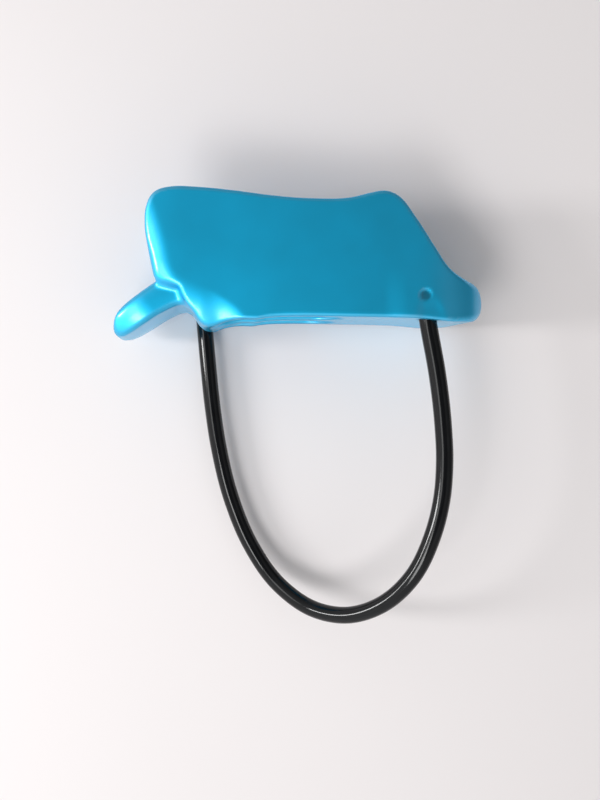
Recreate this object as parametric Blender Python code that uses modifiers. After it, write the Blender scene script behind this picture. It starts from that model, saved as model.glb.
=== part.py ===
"""Tube-style belay and rappel device with a keeper cable, lying on its side.

A forged, blue anodised aluminium body has two cheeks, a middle web and two rope
slots between them. A horn with two V-grooves leaves its left end, and its right
end is a rounded nose. A plastic-coated steel cable leaves a blind bore under the
near cheek at the nose, hangs in a loop and enters a blind bore under the far
cheek at the left corner. A punch mark in each cheek stakes the cable end.

+X runs from the horn to the nose, +Y from the cable loop to the rope side and
+Z from the far cheek, which lies on the floor, to the near cheek.
"""

import math

import bmesh
import bpy
from mathutils import Matrix, Vector

MM = 0.001

# Body, in metres
BODY_WIDTH = 0.033
CHEEK_WALL = 0.0027
WEB_WALL = 0.003
SLOT_WIDTH = (BODY_WIDTH - WEB_WALL) / 2 - CHEEK_WALL
HORN_INSET = 0.0022
HORN_DRAFT = math.radians(2.5)
HORN_ROUND = 0.0014
CORNER_INSET = 0.0013
CORNER_ROUND = 0.0018
CREST_ROUND = 0.0022
RIM_PROUD = 0.0003
# Where, along X, the rounded flanks of horn, corner and crest fade into sharp ones
HORN_FADE = (-0.0240, -0.0190)
CORNER_FADE = (-0.0180, -0.0150)
CREST_FADE = (-0.0180, -0.0100)
SLOT_LEFT = -0.0202
SLOT_RIGHT = 0.0093
SLOT_LEFT_ROUND = 0.0061
SLOT_RIGHT_ROUND = 0.0085
NOSE_START = 0.0245
NOSE_TIP = 0.0430
NOSE_POWER = 3.0

# V-grooves along the horn
GROOVE_ANGLE = math.radians(38.2)
GROOVE_FOOT = (-0.0450, -0.0131)
GROOVE_LENGTH = 0.030
GROOVE_DEPTH_AT_TIP = 0.0046
GROOVE_DEPTH_AT_TOP = 0.0008

# Keeper cable
CABLE_DIAMETER = 0.004
CORE_DIAMETER = 0.0024
CLEARANCE = 0.0003
CABLE_DEPTH = 0.0045
BORE_CLEARANCE = 0.0002
BORE_LENGTH = 0.0100
CORE_STANDS_OUT = 0.0012
NEAR_LEAN = math.radians(9.3)
FAR_LEAN = math.radians(4.5)
NEAR_EXIT = (0.0287, -0.0132)
FAR_EXIT = (-0.0223, -0.0140)
SWING_GAP = 0.0014

# Punch marks that stake the cable ends
STAKE_RISE = 0.0067
STAKE_ASIDE = 0.0006
STAKE_RADIUS = 0.0013
STAKE_TIP_RADIUS = 0.0003
STAKE_DEPTH = 0.0010

# Forging radii come from a fine voxel skin that is relaxed and then thinned out
SKIN_VOXEL = 0.0005
SKIN_RELAX = 10
SKIN_KEPT = 0.045
# Keeps two cutters from sharing a face
WALL_STEP = 0.00006
# How far a cutter runs past the face it enters
OVERLAP = 0.002
# Far enough outside the body for a cutter to end
OUTSIDE = 0.060

# Fineness of the drawn shapes
OUTLINE_STEPS = 5
ROUND_STEPS = 12
FLANK_STEPS = 5
NOSE_STEPS = 28
ROUTE_STEPS = 34
CABLE_SIDES = 16
CORE_SIDES = 12
WELD = 0.000001

# Side outline of the cheeks and the nose, in millimetres, clockwise from the top left
CHEEK_OUTLINE = [
    (-34.2, 12.8), (-32.6, 15.2), (-29.4, 16.3), (-23.5, 16.4), (-16.3, 15.9), (-6.0, 14.8),
    (2.0, 14.4), (9.9, 14.7), (15.3, 16.0), (18.0, 16.4), (21.0, 15.3), (24.5, 11.2),
    (29.6, 3.7), (33.0, -0.8), (37.0, -3.0), (41.0, -4.4), (43.0, -6.8), (43.2, -9.4),
    (41.2, -11.6), (35.0, -12.5), (26.0, -11.9), (10.5, -11.6), (-4.6, -11.6), (-12.0, -12.0),
    (-17.3, -11.0), (-20.8, -8.1), (-24.2, -6.0), (-29.6, -4.9), (-32.5, -4.0), (-33.5, -0.9),
    (-34.2, 3.4), (-34.8, 8.4),
]
# Horn and the bar that the rope bends over, from the foot of the cheek's left edge
HORN_OUTLINE = [
    (-33.4, -3.7), (-25.0, 2.6), (-22.2, 4.2), (-20.0, 3.9), (-17.5, 1.0), (-15.5, -3.2),
    (-14.2, -8.2), (-14.2, -12.0), (-17.6, -12.7), (-21.0, -13.8), (-22.8, -13.1),
    (-24.8, -10.2), (-26.9, -9.6), (-30.0, -10.7), (-36.2, -14.5), (-38.9, -16.0),
    (-40.9, -16.5), (-42.5, -15.4), (-43.0, -13.0), (-42.4, -10.9), (-40.9, -9.4), (-36.5, -5.9),
]
# Thick lower left corner that holds the far cable end, under the cheek's cove
CORNER_OUTLINE = [
    (-27.0, -3.2), (-26.0, -8.7), (-24.6, -10.3), (-22.9, -12.9), (-21.0, -13.9),
    (-17.4, -12.7), (-14.0, -12.0), (-14.0, -6.2), (-18.0, -2.2),
]
# Floor of the trough between the slot and the nose, which the rope runs over
TROUGH_FLOOR = [
    (3.0, -11.2), (6.0, -9.5), (10.0, -6.8), (15.0, -3.8), (20.5, -1.4), (26.5, -0.4),
    (31.5, -0.5), (40.0, 0.4),
]
# Top edge of the web, from the ramp on the horn's side to the nose
WEB_TOP = [
    (-31.5, -1.2), (-30.6, 5.8), (-28.0, 11.4), (-23.0, 14.0), (-12.0, 13.2), (2.0, 12.3),
    (11.5, 12.8), (17.0, 13.6), (20.5, 12.0), (26.5, 3.6), (31.0, -0.8),
]
# Route of the free loop in millimetres: X and Y seen from the near side, and the
# share of the way from the near cable end's height to the far one's
LOOP_ROUTE = [
    (30.7, -23.8, 0.0), (32.2, -35.9, 0.0), (32.6, -44.2, 0.0), (32.0, -52.9, 0.0),
    (30.0, -61.5, 0.02), (25.8, -71.3, 0.10), (19.7, -78.4, 0.25), (11.8, -82.4, 0.46),
    (3.5, -82.0, 0.70), (-4.6, -76.6, 0.88), (-11.3, -67.0, 0.98), (-15.9, -55.7, 1.0),
    (-19.1, -42.4, 1.0), (-20.6, -32.1, 1.0), (-21.6, -22.0, 1.0),
]


def clear_scene():
    for old in list(bpy.data.objects):
        bpy.data.objects.remove(old)


def new_collection(name):
    collection = bpy.data.collections.new(name)
    bpy.context.scene.collection.children.link(collection)
    return collection


def material(name, color, metallic, roughness):
    finish = bpy.data.materials.new(name)
    finish.use_nodes = True
    shader = finish.node_tree.nodes["Principled BSDF"]
    shader.inputs["Base Color"].default_value = (*color, 1.0)
    shader.inputs["Metallic"].default_value = metallic
    shader.inputs["Roughness"].default_value = roughness
    finish.diffuse_color = (*color, 1.0)
    return finish


def mesh_object(name, mesh, collection):
    obj = bpy.data.objects.new(name, mesh)
    collection.objects.link(obj)
    return obj


def curve_to_mesh(curve_object, collection):
    """Turn a curve into a closed mesh object that can be cut or can cut."""
    bpy.context.view_layer.update()
    evaluated = curve_object.evaluated_get(bpy.context.evaluated_depsgraph_get())
    mesh = bpy.data.meshes.new_from_object(evaluated)
    work = bmesh.new()
    work.from_mesh(mesh)
    bmesh.ops.remove_doubles(work, verts=work.verts, dist=WELD)
    bmesh.ops.recalc_face_normals(work, faces=work.faces)
    work.to_mesh(mesh)
    work.free()
    name = curve_object.name
    place = curve_object.matrix_world.copy()
    bpy.data.objects.remove(curve_object)
    obj = mesh_object(name, mesh, collection)
    obj.matrix_world = place
    return obj


def outline_prism(name, corners, low, high, collection, smooth=True):
    """Extrude a closed outline, in metres on X and Y, from height low to high."""
    curve = bpy.data.curves.new(name, "CURVE")
    curve.dimensions = "2D"
    curve.fill_mode = "BOTH"
    curve.extrude = (high - low) / 2
    curve.resolution_u = OUTLINE_STEPS
    spline = curve.splines.new("BEZIER" if smooth else "POLY")
    points = spline.bezier_points if smooth else spline.points
    points.add(len(corners) - 1)
    for point, (x, y) in zip(points, corners):
        if smooth:
            point.co = (x, y, 0)
            point.handle_left_type = "AUTO"
            point.handle_right_type = "AUTO"
        else:
            point.co = (x, y, 0, 1)
    spline.use_cyclic_u = True
    obj = bpy.data.objects.new(name, curve)
    collection.objects.link(obj)
    obj.location = (0, 0, (low + high) / 2)
    return curve_to_mesh(obj, collection)


def millimetres(corners):
    return [(x * MM, y * MM) for x, y in corners]


def smooth_line(points, steps):
    """Points of a Catmull-Rom curve through the given ones, evenly spaced by index."""
    padded = [2 * points[0] - points[1], *points, 2 * points[-1] - points[-2]]
    spans = len(points) - 1
    line = []
    for step in range(steps + 1):
        place = step / steps * spans
        span = min(int(place), spans - 1)
        t = place - span
        a, b, c, d = padded[span:span + 4]
        line.append(
            0.5 * (2 * b + (c - a) * t + (2 * a - 5 * b + 4 * c - d) * t * t
                   + (3 * b - 3 * c + d - a) * t ** 3))
    return line


def even_line(points, steps):
    """The same curve with its points at equal distances along it."""
    fine = smooth_line(points, steps * ROUND_STEPS)
    lengths = [0.0]
    for before, after in zip(fine, fine[1:]):
        lengths.append(lengths[-1] + (after - before).length)
    line = []
    index = 0
    for step in range(steps + 1):
        wanted = lengths[-1] * step / steps
        while index < len(fine) - 2 and lengths[index + 1] < wanted:
            index += 1
        share = (wanted - lengths[index]) / (lengths[index + 1] - lengths[index])
        line.append(fine[index].lerp(fine[index + 1], share))
    return line


def tube(name, points, diameter, sides, collection):
    curve = bpy.data.curves.new(name, "CURVE")
    curve.dimensions = "3D"
    curve.bevel_depth = diameter / 2
    curve.bevel_resolution = sides // 4 - 1
    curve.use_fill_caps = True
    spline = curve.splines.new("POLY")
    spline.points.add(len(points) - 1)
    for point, place in zip(spline.points, points):
        point.co = (*place, 1)
    obj = bpy.data.objects.new(name, curve)
    collection.objects.link(obj)
    return curve_to_mesh(obj, collection)


def cylinder(name, radius_low, radius_high, start, end, segments, collection):
    """A cylinder or cone from start to end."""
    work = bmesh.new()
    axis = end - start
    bmesh.ops.create_cone(
        work, cap_ends=True, cap_tris=False, segments=segments,
        radius1=radius_low, radius2=radius_high, depth=axis.length)
    turn = axis.to_track_quat("Z", "Y").to_matrix().to_4x4()
    bmesh.ops.transform(work, matrix=Matrix.Translation((start + end) / 2) @ turn, verts=work.verts)
    mesh = bpy.data.meshes.new(name)
    work.to_mesh(mesh)
    work.free()
    return mesh_object(name, mesh, collection)


def box(name, low, high, collection):
    work = bmesh.new()
    bmesh.ops.create_cube(work, size=1.0)
    size = [h - l for l, h in zip(low, high)]
    bmesh.ops.scale(work, vec=size, verts=work.verts)
    bmesh.ops.translate(work, vec=[(l + h) / 2 for l, h in zip(low, high)], verts=work.verts)
    mesh = bpy.data.meshes.new(name)
    work.to_mesh(mesh)
    work.free()
    return mesh_object(name, mesh, collection)


def boolean(obj, other, operation):
    cut = obj.modifiers.new(f"{operation.lower()} {other.name}", "BOOLEAN")
    cut.operation = operation
    cut.solver = "EXACT"
    cut.object = other
    other.hide_render = True
    other.display_type = "WIRE"


def shape_sides(obj, middle, draft, rounding, fade):
    """Lean a prism's sides in from its middle height and round them over at both ends.

    The rounding is whole where X is below fade[0] and gone where X is above fade[1].
    """
    work = bmesh.new()
    work.from_mesh(obj.data)
    lift = middle - obj.location.z
    half = max(vert.co.z for vert in work.verts) - lift
    caps = [face for face in work.faces if abs(face.normal.z) > 0.5]
    bmesh.ops.delete(work, geom=caps, context="FACES_ONLY")
    loose = [edge for edge in work.edges if not edge.link_faces]
    bmesh.ops.delete(work, geom=loose, context="EDGES")
    levels = [0.0]
    for step in range(FLANK_STEPS):
        turn = math.pi / 2 * step / FLANK_STEPS
        levels.append(half - rounding + rounding * math.sin(turn))
    for level in sorted({*levels, *(-level for level in levels)}):
        everything = [*work.verts, *work.edges, *work.faces]
        bmesh.ops.bisect_plane(
            work, geom=everything, plane_co=(0, 0, lift + level), plane_no=(0, 0, 1))
    work.normal_update()
    moves = []
    for vert in work.verts:
        outward = sum((face.normal for face in vert.link_faces), Vector())
        outward.z = 0
        height = abs(vert.co.z - lift)
        over = min(max(height - half + rounding, 0), rounding)
        share = min(max((fade[1] - vert.co.x) / (fade[1] - fade[0]), 0), 1)
        inward = share * (rounding - math.sqrt(rounding ** 2 - over ** 2))
        moves.append((vert, outward.normalized() * (inward + height * math.tan(draft))))
    for vert, move in moves:
        vert.co -= move
    rims = [edge for edge in work.edges if edge.is_boundary]
    for above in (True, False):
        rim = [edge for edge in rims if (edge.verts[0].co.z > lift) == above]
        bmesh.ops.triangle_fill(work, edges=rim, use_beauty=True)
    bmesh.ops.recalc_face_normals(work, faces=work.faces)
    work.to_mesh(obj.data)
    work.free()


def slot_outline():
    """Plan of one rope slot about its own middle line: round left end, longer right end."""
    half = SLOT_WIDTH / 2 - WALL_STEP
    left = SLOT_LEFT + SLOT_LEFT_ROUND
    right = SLOT_RIGHT - SLOT_RIGHT_ROUND
    points = []
    for step in range(ROUND_STEPS + 1):
        turn = math.pi * (0.5 - step / ROUND_STEPS)
        points.append((right + SLOT_RIGHT_ROUND * math.cos(turn), half * math.sin(turn)))
    for step in range(ROUND_STEPS + 1):
        turn = math.pi * (-0.5 - step / ROUND_STEPS)
        points.append((left + SLOT_LEFT_ROUND * math.cos(turn), half * math.sin(turn)))
    return points


def plan_outline():
    """Plan of the whole body about its middle plane: square left end, rounded nose."""
    half = BODY_WIDTH / 2
    reach = NOSE_TIP - NOSE_START
    points = [(-OUTSIDE, -half - OVERLAP), (NOSE_START - OVERLAP, -half - OVERLAP)]
    for step in range(NOSE_STEPS + 1):
        turn = math.pi * (step / NOSE_STEPS - 0.5)
        side = math.copysign(abs(math.sin(turn)) ** (2 / NOSE_POWER), math.sin(turn))
        ahead = abs(math.cos(turn)) ** (2 / NOSE_POWER)
        points.append((NOSE_START + reach * ahead, half * side))
    points.append((NOSE_START - OVERLAP, half + OVERLAP))
    points.append((-OUTSIDE, half + OVERLAP))
    return points


def stood_on_edge(obj, middle):
    """Turn a prism drawn on X and Y so that its outline lies on X and Z about a height."""
    turn = Matrix.Translation((0, 0, middle)) @ Matrix.Rotation(math.radians(90), 4, "X")
    obj.data.transform(turn @ obj.matrix_world)
    obj.matrix_world = Matrix.Identity(4)


def slot_middles():
    return (CHEEK_WALL + SLOT_WIDTH / 2, BODY_WIDTH - CHEEK_WALL - SLOT_WIDTH / 2)


def cable_ends():
    """Exit point and inward direction of each end of the cable."""
    near = (Vector((*NEAR_EXIT, BODY_WIDTH - CABLE_DEPTH)),
            Vector((-math.sin(NEAR_LEAN), math.cos(NEAR_LEAN), 0)))
    far = (Vector((*FAR_EXIT, CABLE_DEPTH)),
           Vector((-math.sin(FAR_LEAN), math.cos(FAR_LEAN), 0)))
    return {"near": near, "far": far}


def loop_points():
    """The free loop's middle line, from just below one exit to just below the other."""
    ends = cable_ends()
    near_exit, near_in = ends["near"]
    far_exit, far_in = ends["far"]
    points = [near_exit - near_in * SWING_GAP]
    for x, y, share in LOOP_ROUTE:
        height = near_exit.z + (far_exit.z - near_exit.z) * share
        points.append(Vector((x * MM, y * MM, height)))
    points.append(far_exit - far_in * SWING_GAP)
    return even_line(points, ROUTE_STEPS)


def make_body(parts, cutters):
    body = outline_prism(
        "forged_body", millimetres(CHEEK_OUTLINE), -RIM_PROUD, BODY_WIDTH + RIM_PROUD, parts)
    centre = BODY_WIDTH / 2
    shape_sides(body, centre, 0.0, CREST_ROUND, CREST_FADE)

    out = OUTSIDE
    floor = millimetres(TROUGH_FLOOR)
    trough = [(-out, -out), (floor[0][0], -out), *floor, (out, out), (-out, out)]
    over_web = [(-out, -out), *millimetres(WEB_TOP), (out, 0), (out, out), (-out, out)]
    for side, middle in zip(("far", "near"), slot_middles()):
        cutter = outline_prism(
            f"{side}_trough", trough, middle - SLOT_WIDTH / 2, middle + SLOT_WIDTH / 2,
            cutters, smooth=False)
        boolean(body, cutter, "DIFFERENCE")
    web_cutter = outline_prism(
        "over_web", over_web, BODY_WIDTH / 2 - WEB_WALL, BODY_WIDTH / 2 + WEB_WALL,
        cutters, smooth=False)
    boolean(body, web_cutter, "DIFFERENCE")

    horn = outline_prism(
        "horn", millimetres(HORN_OUTLINE), HORN_INSET, BODY_WIDTH - HORN_INSET, cutters)
    shape_sides(horn, centre, HORN_DRAFT, HORN_ROUND, HORN_FADE)
    boolean(body, horn, "UNION")
    corner = outline_prism(
        "corner", millimetres(CORNER_OUTLINE), CORNER_INSET, BODY_WIDTH - CORNER_INSET, cutters)
    shape_sides(corner, centre, 0.0, CORNER_ROUND, CORNER_FADE)
    boolean(body, corner, "UNION")

    for side, middle in zip(("far", "near"), slot_middles()):
        slot = outline_prism(f"{side}_slot", slot_outline(), -out, out, cutters, smooth=False)
        stood_on_edge(slot, middle)
        boolean(body, slot, "DIFFERENCE")
        foot = Vector((*GROOVE_FOOT, middle))
        along = Vector((math.cos(GROOVE_ANGLE), math.sin(GROOVE_ANGLE), 0))
        groove = cylinder(
            f"{side}_groove", GROOVE_DEPTH_AT_TIP, GROOVE_DEPTH_AT_TOP,
            foot, foot + along * GROOVE_LENGTH, 4, cutters)
        boolean(body, groove, "DIFFERENCE")

    plan = outline_prism("plan", plan_outline(), -out, out, cutters, smooth=False)
    stood_on_edge(plan, BODY_WIDTH / 2)
    boolean(body, plan, "INTERSECT")

    skin = body.modifiers.new("skin", "REMESH")
    skin.mode = "VOXEL"
    skin.voxel_size = SKIN_VOXEL
    relax = body.modifiers.new("relax", "SMOOTH")
    relax.factor = 0.5
    relax.iterations = SKIN_RELAX
    thin = body.modifiers.new("thin", "DECIMATE")
    thin.ratio = SKIN_KEPT

    slab = box("slab", (-out, -out, 0), (out, out, BODY_WIDTH), cutters)
    boolean(body, slab, "INTERSECT")
    for side, (exit_point, inward) in cable_ends().items():
        radius = CABLE_DIAMETER / 2 + BORE_CLEARANCE
        bore = cylinder(
            f"{side}_bore", radius, radius,
            exit_point - inward * CABLE_DIAMETER, exit_point + inward * BORE_LENGTH,
            CABLE_SIDES, cutters)
        boolean(body, bore, "DIFFERENCE")
        outward = Vector((0, 0, -1 if side == "far" else 1))
        mark = exit_point + inward * STAKE_RISE
        mark.x -= STAKE_ASIDE
        mark.z = 0.0 if side == "far" else BODY_WIDTH
        punch = cylinder(
            f"{side}_stake", STAKE_TIP_RADIUS, 2 * STAKE_RADIUS - STAKE_TIP_RADIUS,
            mark - outward * STAKE_DEPTH, mark + outward * STAKE_DEPTH, CORE_SIDES, cutters)
        boolean(body, punch, "DIFFERENCE")
    return body


def make_cable(parts, cutters):
    """Steel core and plastic jacket: the free loop, and the two ends held in the bores."""
    inner = CORE_DIAMETER + 2 * CLEARANCE
    made = []
    points = loop_points()
    lengthened = [2 * points[0] - points[1], *points, 2 * points[-1] - points[-2]]
    jacket = tube("jacket_loop", points, CABLE_DIAMETER, CABLE_SIDES, parts)
    bore = tube("jacket_loop_bore", lengthened, inner, CORE_SIDES, cutters)
    boolean(jacket, bore, "DIFFERENCE")
    made.append(("jacket", jacket))
    made.append(("core", tube("core_loop", points, CORE_DIAMETER, CORE_SIDES, parts)))

    for side, (mouth, inward) in cable_ends().items():
        core_end = mouth + inward * (BORE_LENGTH - CLEARANCE)
        jacket_end = core_end - inward * CORE_STANDS_OUT
        jacket = cylinder(
            f"jacket_end_{side}", CABLE_DIAMETER / 2, CABLE_DIAMETER / 2,
            mouth, jacket_end, CABLE_SIDES, parts)
        bore = cylinder(
            f"jacket_end_{side}_bore", inner / 2, inner / 2,
            mouth - inward * OVERLAP, jacket_end + inward * OVERLAP, CORE_SIDES, cutters)
        boolean(jacket, bore, "DIFFERENCE")
        made.append(("jacket", jacket))
        core = cylinder(
            f"core_end_{side}", CORE_DIAMETER / 2, CORE_DIAMETER / 2,
            mouth, core_end, CORE_SIDES, parts)
        made.append(("core", core))
    return made


def shade(obj, angle=35):
    for polygon in obj.data.polygons:
        polygon.use_smooth = True
    obj.data.set_sharp_from_angle(angle=math.radians(angle))


def main():
    clear_scene()
    parts = new_collection("belay_device")
    cutters = new_collection("cutters")
    finishes = {
        "body": material("blue_anodised_aluminium", (0.0, 0.26, 0.51), 1.0, 0.32),
        "jacket": material("black_cable_jacket", (0.01, 0.01, 0.011), 0.0, 0.25),
        "core": material("steel_wire_rope", (0.55, 0.55, 0.56), 1.0, 0.35),
    }
    body = make_body(parts, cutters)
    body.data.materials.append(finishes["body"])
    for slot, piece in make_cable(parts, cutters):
        piece.data.materials.append(finishes[slot])
        shade(piece)
    bpy.context.view_layer.update()


main()
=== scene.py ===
"""Looks of a tube-style belay and rappel device that lies on its far cheek.

A forged body in blue anodised aluminium holds a springy keeper cable: steel wire rope
in a black plastic jacket. The body's skin is a fine mesh on a distance field, worked out
in millimetres from the same outlines as its solid.

+X runs from the horn to the nose, +Y from the cable loop to the rope side and +Z from
the far cheek, on the floor, to the near one.
"""

import math

import bpy
import numpy as np
from bpy.props import FloatProperty, FloatVectorProperty, IntProperty, PointerProperty
from mathutils import Matrix, Vector


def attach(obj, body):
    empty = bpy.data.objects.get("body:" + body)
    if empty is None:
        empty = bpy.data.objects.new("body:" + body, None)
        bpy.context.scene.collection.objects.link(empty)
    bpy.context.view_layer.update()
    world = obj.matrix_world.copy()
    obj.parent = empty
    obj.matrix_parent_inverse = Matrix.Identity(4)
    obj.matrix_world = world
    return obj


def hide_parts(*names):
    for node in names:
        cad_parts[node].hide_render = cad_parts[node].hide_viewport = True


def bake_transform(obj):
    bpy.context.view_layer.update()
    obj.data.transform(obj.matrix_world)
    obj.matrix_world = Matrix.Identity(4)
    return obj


bl_info = {
    "name": "Belay device",
    "version": (1, 0, 0),
    "blender": (4, 5, 0),
    "location": "3D Viewport > Sidebar > Belay device",
    "description": "Dresses the belay and rappel device and lights it on a plain floor",
    "category": "Object",
}

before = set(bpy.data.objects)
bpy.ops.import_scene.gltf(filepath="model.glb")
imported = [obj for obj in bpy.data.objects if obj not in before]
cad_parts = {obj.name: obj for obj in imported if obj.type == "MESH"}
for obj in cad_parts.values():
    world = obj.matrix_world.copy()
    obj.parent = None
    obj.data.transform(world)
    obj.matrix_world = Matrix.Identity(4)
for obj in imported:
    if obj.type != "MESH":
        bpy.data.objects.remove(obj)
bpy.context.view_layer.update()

MM = 0.001

# Side outlines of the body in millimetres. Cheek and horn are as in the solid; the lower
# left corner runs on into the cheek, so that the two share one even bottom edge
CHEEK_OUTLINE = [
    (-34.2, 12.8), (-32.6, 15.2), (-29.4, 16.3), (-23.5, 16.4), (-16.3, 15.9), (-6.0, 14.8),
    (2.0, 14.4), (9.9, 14.7), (15.3, 16.0), (18.0, 16.4), (21.0, 15.3), (24.5, 11.2),
    (29.6, 3.7), (33.0, -0.8), (37.0, -3.0), (41.0, -4.4), (43.0, -6.8), (43.2, -9.4),
    (41.2, -11.6), (35.0, -12.5), (26.0, -11.9), (10.5, -11.6), (-4.6, -11.6), (-12.0, -12.0),
    (-17.3, -11.0), (-20.8, -8.1), (-24.2, -6.0), (-29.6, -4.9), (-32.5, -4.0), (-33.5, -0.9),
    (-34.2, 3.4), (-34.8, 8.4),
]
HORN_OUTLINE = [
    (-33.4, -3.7), (-25.0, 2.6), (-22.2, 4.2), (-20.0, 3.9), (-17.5, 1.0), (-15.5, -3.2),
    (-14.2, -8.2), (-14.2, -12.0), (-17.6, -12.7), (-21.0, -13.8), (-22.8, -13.1),
    (-24.8, -10.2), (-26.9, -9.6), (-30.0, -10.7), (-36.2, -14.5), (-38.9, -16.0),
    (-40.9, -16.5), (-42.5, -15.4), (-43.0, -13.0), (-42.4, -10.9), (-40.9, -9.4),
    (-36.5, -5.9),
]
CORNER_OUTLINE = [
    (-27.0, -3.2), (-26.0, -8.7), (-24.6, -10.3), (-22.9, -12.9), (-21.0, -13.9),
    (-17.4, -12.8), (-13.4, -12.05), (-9.0, -11.3), (-9.0, -8.0), (-14.0, -5.0), (-18.0, -2.2),
]
# Flat part of the cheek's face: outside it the face rolls down to the left rim and to the
# corner
FLAT_OUTLINE = [
    (-34.6, 26.0), (-33.4, 16.0), (-31.9, 11.0), (-30.4, 6.0), (-29.5, 2.4), (-28.9, -0.4),
    (-27.6, -2.5), (-25.2, -4.0), (-21.6, -5.5), (-18.0, -7.2), (-14.6, -9.6), (-11.8, -13.2),
    (-8.0, -20.0), (20.0, -24.0), (60.0, -24.0), (60.0, 30.0),
]
# Solid under the trough that the rope runs over, and solid of the web below its top edge.
# The points left and right of the body and below it only close the lines
FLOOR_OUTLINE = [
    (-3.0, -13.0), (3.0, -11.2), (6.0, -9.5), (10.0, -6.8), (15.0, -3.8), (20.5, -1.4),
    (26.5, -0.4), (31.5, -0.5), (40.0, 0.4), (60.0, 0.4), (60.0, -40.0), (-3.0, -40.0),
]
WEB_OUTLINE = [
    (-45.0, -26.0), (-31.5, -1.2), (-30.6, 5.8), (-28.0, 11.4), (-23.0, 14.0), (-12.0, 13.2),
    (2.0, 12.3), (11.5, 12.8), (17.0, 13.6), (20.5, 12.0), (26.5, 3.6), (31.0, -0.8),
    (60.0, -0.4), (60.0, -40.0), (-45.0, -40.0),
]

# Body sizes in millimetres, as in the solid
BODY_WIDTH = 33.0
HALF_WIDTH = BODY_WIDTH / 2
CHEEK_WALL = 2.7
WEB_WALL = 3.0
SLOT_WIDTH = (BODY_WIDTH - WEB_WALL) / 2 - CHEEK_WALL
SLOT_MIDDLE = WEB_WALL / 2 + SLOT_WIDTH / 2
HORN_INSET = 2.2
HORN_DRAFT = math.radians(2.5)
SLOT_LEFT = -20.2
SLOT_RIGHT = 9.3
SLOT_LEFT_ROUND = 6.1
SLOT_RIGHT_ROUND = 8.5
NOSE_START = 24.5
NOSE_TIP = 43.0
NOSE_POWER = 3.0
GROOVE_ANGLE = math.radians(38.2)
GROOVE_FOOT = (-45.0, -13.1)
GROOVE_LENGTH = 30.0
GROOVE_DEPTH_AT_TIP = 4.6
GROOVE_DEPTH_AT_TOP = 0.8

# Forms that the skin adds to both cheeks' faces, in millimetres. A pair gives where a
# change along X or Y starts and where it is complete
ROLL_WIDENS = (-30.5, -26.0)
ROLL_WIDER_BY = 0.9
CREST_STEEPENS = (-23.0, -17.0)
CREST_SLOPE = 0.15
CREST_TIGHTER_BY = 0.4
BOSS_ALONG = (17.6, 23.2)
BOSS_ACROSS = (3.0, -8.0)
RECESS_DEEPENS = (-32.0, -16.0)
RIM_WIDENS_DOWN = (6.0, 0.0)
RIM_WIDENS_LEFT = (-26.0, -30.0)
NOSE_ROUNDS = (32.0, 42.0)
# The fan is a dent that spreads from above the punch mark to the cable's mouth
FAN_ABOVE_MARK = 0.6
FAN_FULL = 3.0
FAN_HALF_WIDTH = 3.4
FAN_SPREAD = 0.25

# Where the horn's flanks start to droop, and the direction there from its tip
HORN_TOP = (-34.2, -8.3)
HORN_AXIS = (0.79, 0.61)
# How far from its rim the horn's flank swells
SWELL_REACH = 3.6

# Smaller fillets and rounded edges of the forging, in millimetres
CORNER_FILLET = 0.7
WALL_FILLET = 1.2
CORNER_FILL = 0.8
CORNER_FILL_EDGE = 1.0
CORNER_FILL_FILLET = 0.9
WEB_EDGE = 1.3
WEB_FILLET = 0.8
INNER_EDGE = 0.8
SLOT_SPARE = 0.3
GROOVE_FLOOR = 0.5
GROOVE_EDGE = 0.7
BORE_FOOT = 0.3
BORE_LEAD = 8.0
MOUTH_EDGE = 0.2

# How the outlines become lines: the divisor and the limit of Blender's automatic handles,
# and the lines' spacing and softness in millimetres, for curves and for straight stretches
HANDLE_DIVISOR = 2.5614
HANDLE_LIMIT = 5
LINE_SPACING = 0.4
LINE_SOFTNESS = 0.6
EDGE_SPACING = 0.5
EDGE_SOFTNESS = 1.2

# Box in millimetres in which the skin is sampled. Its corners lie off the round values, so
# that no sample falls on a flat face
SKIN_LOW = (-44.03, -17.51, -0.97)
SKIN_HIGH = (44.4, 17.6, 34.1)
SETTLING_ROUNDS = 5

# Keeper cable in millimetres, its route and bores as in the solid. The jacket has a little
# play in its bore and ends short of the foot, and the wire rope stands out of it
CABLE_DEPTH = 4.5
BORE_LENGTH = 10.0
BORE_PLAY = 0.06
END_GAP = 1.5
CORE_STANDS_OUT = 1.2
NEAR_LEAN = math.radians(9.3)
FAR_LEAN = math.radians(4.5)
NEAR_EXIT = (28.7, -13.2)
FAR_EXIT = (-22.3, -14.0)
LOOP_ROUTE = [
    (30.7, -23.8, 0.0), (32.2, -35.9, 0.0), (32.6, -44.2, 0.0), (32.0, -52.9, 0.0),
    (30.0, -61.5, 0.02), (25.8, -71.3, 0.10), (19.7, -78.4, 0.25), (11.8, -82.4, 0.46),
    (3.5, -82.0, 0.70), (-4.6, -76.6, 0.88), (-11.3, -67.0, 0.98), (-15.9, -55.7, 1.0),
    (-19.1, -42.4, 1.0), (-20.6, -32.1, 1.0), (-21.6, -22.0, 1.0),
]
ROUTE_STEPS = 24
RING_SPACING = 0.9
# Share of their width that the jacket's end faces keep, and the length of one ring step in
# its drag pattern, in centimetres
END_SHRINK = 0.86
PATTERN_STEP = RING_SPACING / 10
# Share of its room that each strand of the wire rope fills
STRAND_FIT = 0.98

# Punch marks over the cable ends, in millimetres: bowls that narrow below their lip
STAKE_RISE = 6.7
STAKE_ASIDE = 0.6
STAKE_RADIUS = 1.35
MARK_EDGE = 0.3
MARK_TAPER = 0.75
MARK_LIP = 0.1
# Share of a mark's depth at its middle, and the gain from there to its upper edge
MARK_MIDDLE = 0.6
MARK_TILT = 0.4
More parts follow.
